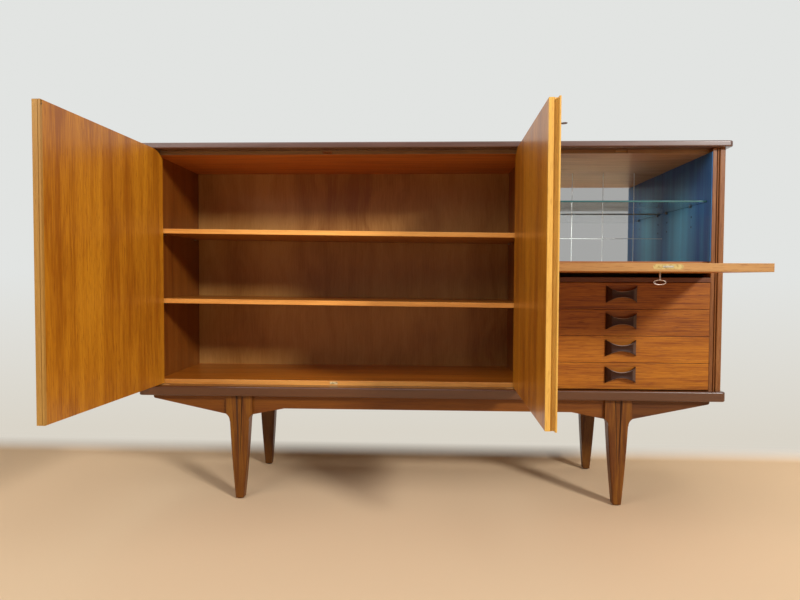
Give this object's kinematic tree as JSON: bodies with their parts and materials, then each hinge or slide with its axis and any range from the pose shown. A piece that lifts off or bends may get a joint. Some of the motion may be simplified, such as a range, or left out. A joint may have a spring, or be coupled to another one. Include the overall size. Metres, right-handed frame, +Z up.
{
  "type": "highboard with bar",
  "caption": "Wooden highboard on tapered legs with hinged doors before shelves, a drop-down flap before a mirrored bar, and stacked drawers with carved bow-tie pulls.",
  "frame": {"origin": "on the floor, under the middle of the box around the cabinet with its doors and flap open", "axes": "+X along the cabinet to its right end as seen from the front, +Y from the front to the back, +Z up"},
  "size_m": [2.04, 1.0693, 1.25],
  "materials": {
    "wood_slab": "satin",
    "wood_side": "satin",
    "wood_moulding": "satin",
    "wood_divider": "satin",
    "wood_floor": "satin",
    "wood_ceiling": "satin",
    "wood_back": "satin",
    "wood_bar_floor": "satin",
    "wood_rail": "satin",
    "wood_box": "satin",
    "wood_shelf": "satin",
    "wood_base": "satin",
    "wood_leg": "satin",
    "wood_door": "satin",
    "wood_edge": "satin",
    "wood_flap": "satin",
    "wood_flap_edge": "satin",
    "wood_drawer": "satin",
    "wood_pull": "satin",
    "mirror": "polished",
    "blue_glass": "glossy",
    "clear_glass": "clear",
    "steel": "brushed",
    "key_metal": "worn",
    "brass": "satin",
    "lock_brass": "satin",
    "glide": "matte"
  },
  "bodies": {
    "cabinet": {"top_slab": "wood_slab", "bottom_slab": "wood_slab", "side_left": "wood_side", "side_right": "wood_side", "side_edge_left": "wood_moulding", "side_edge_right": "wood_moulding", "divider": "wood_divider", "floor_board": "wood_floor", "ceiling_boards": "wood_ceiling", "back_panel": "wood_back", "shelf_upper": "wood_shelf", "shelf_lower": "wood_shelf", "shelf_pins": "steel", "bar_floor": "wood_bar_floor", "drawer_rail": "wood_rail", "bar_mirror": "mirror", "bar_lining_left": "blue_glass", "bar_lining_right": "blue_glass", "glass_shelf": "clear_glass", "hinge_plates": "brass", "strike_plates": "brass", "drawer_runners": "wood_box", "leg_front_left": "wood_leg", "leg_front_right": "wood_leg", "leg_back_left": "wood_leg", "leg_back_right": "wood_leg", "apron_front": "wood_base", "base_rails": "wood_base", "corner_blocks": "wood_base", "foot_glides": "glide"},
    "left_door": {"door_left": "wood_door", "door_left_edge": "wood_edge", "door_left_bushes": "brass"},
    "left_door_bolt": {"door_left_bolt": "brass"},
    "right_door": {"door_right": "wood_door", "door_right_strip": "wood_edge", "door_right_bushes": "brass", "door_lock": "lock_brass", "door_keyhole_plate": "lock_brass"},
    "right_door_lock_bolt": {"door_lock_bolt": "steel"},
    "right_door_key": {"door_key": "key_metal"},
    "bar_flap": {"flap_panel": "wood_flap", "flap_edge": "wood_flap_edge", "flap_bushes": "brass", "flap_lock": "lock_brass", "flap_keyhole_plate": "lock_brass"},
    "flap_lock_bolt": {"flap_lock_bolt": "steel"},
    "flap_key": {"flap_key": "key_metal"},
    "drawer_one": {"drawer_one_front": "wood_drawer", "drawer_one_box": "wood_box", "drawer_one_pull": "wood_pull"},
    "drawer_two": {"drawer_two_front": "wood_drawer", "drawer_two_box": "wood_box", "drawer_two_pull": "wood_pull"},
    "drawer_three": {"drawer_three_front": "wood_drawer", "drawer_three_box": "wood_box", "drawer_three_pull": "wood_pull"},
    "drawer_four": {"drawer_four_front": "wood_drawer", "drawer_four_box": "wood_box", "drawer_four_pull": "wood_pull"}
  },
  "joints": [
    {"name": "left_door_hinge", "type": "hinge", "parent": "cabinet", "child": "left_door", "pos_m": [-0.948, 0.09783, 0.8], "axis": [0, 0, 1], "range_deg": [-5, 92.6]},
    {"name": "left_door_bolt_slide", "type": "slide", "parent": "left_door", "child": "left_door_bolt", "axis": [0, 0, 1], "range_m": [0, 0.007]},
    {"name": "right_door_hinge", "type": "hinge", "parent": "cabinet", "child": "right_door", "pos_m": [0.312, 0.09783, 0.8], "axis": [0, 0, 1], "range_deg": [-89, 0]},
    {"name": "right_door_key_turn", "type": "hinge", "parent": "right_door", "child": "right_door_key", "pos_m": [0.30255, -0.44359, 1.181], "axis": [-0.9998, 0.0175, 0], "range_deg": [0, 90]},
    {"name": "right_door_lock_slide", "type": "slide", "parent": "right_door", "child": "right_door_lock_bolt", "axis": [0, 0, 1], "range_m": [0, 0.008]},
    {"name": "flap_hinge", "type": "hinge", "parent": "cabinet", "child": "bar_flap", "pos_m": [0.658, 0.09883, 0.818], "axis": [-1, 0, 0], "range_deg": [0, 90]},
    {"name": "flap_key_turn", "type": "hinge", "parent": "bar_flap", "child": "flap_key", "pos_m": [0.659, -0.26417, 0.8195], "axis": [0, 0, 1], "range_deg": [0, 90]},
    {"name": "flap_lock_slide", "type": "slide", "parent": "bar_flap", "child": "flap_lock_bolt", "axis": [0, -1, 0], "range_m": [0, 0.008]},
    {"name": "drawer_one_slide", "type": "slide", "parent": "cabinet", "child": "drawer_one", "axis": [0, -1, 0], "range_m": [0, 0.3]},
    {"name": "drawer_two_slide", "type": "slide", "parent": "cabinet", "child": "drawer_two", "axis": [0, -1, 0], "range_m": [0, 0.3]},
    {"name": "drawer_three_slide", "type": "slide", "parent": "cabinet", "child": "drawer_three", "axis": [0, -1, 0], "range_m": [0, 0.3]},
    {"name": "drawer_four_slide", "type": "slide", "parent": "cabinet", "child": "drawer_four", "axis": [0, -1, 0], "range_m": [0, 0.3]}
  ],
  "couplings": [
    {"joint": "right_door_key_turn", "follows": "right_door_lock_slide", "rad_per_m": 196.3},
    {"joint": "flap_key_turn", "follows": "flap_lock_slide", "rad_per_m": 196.3}
  ]
}
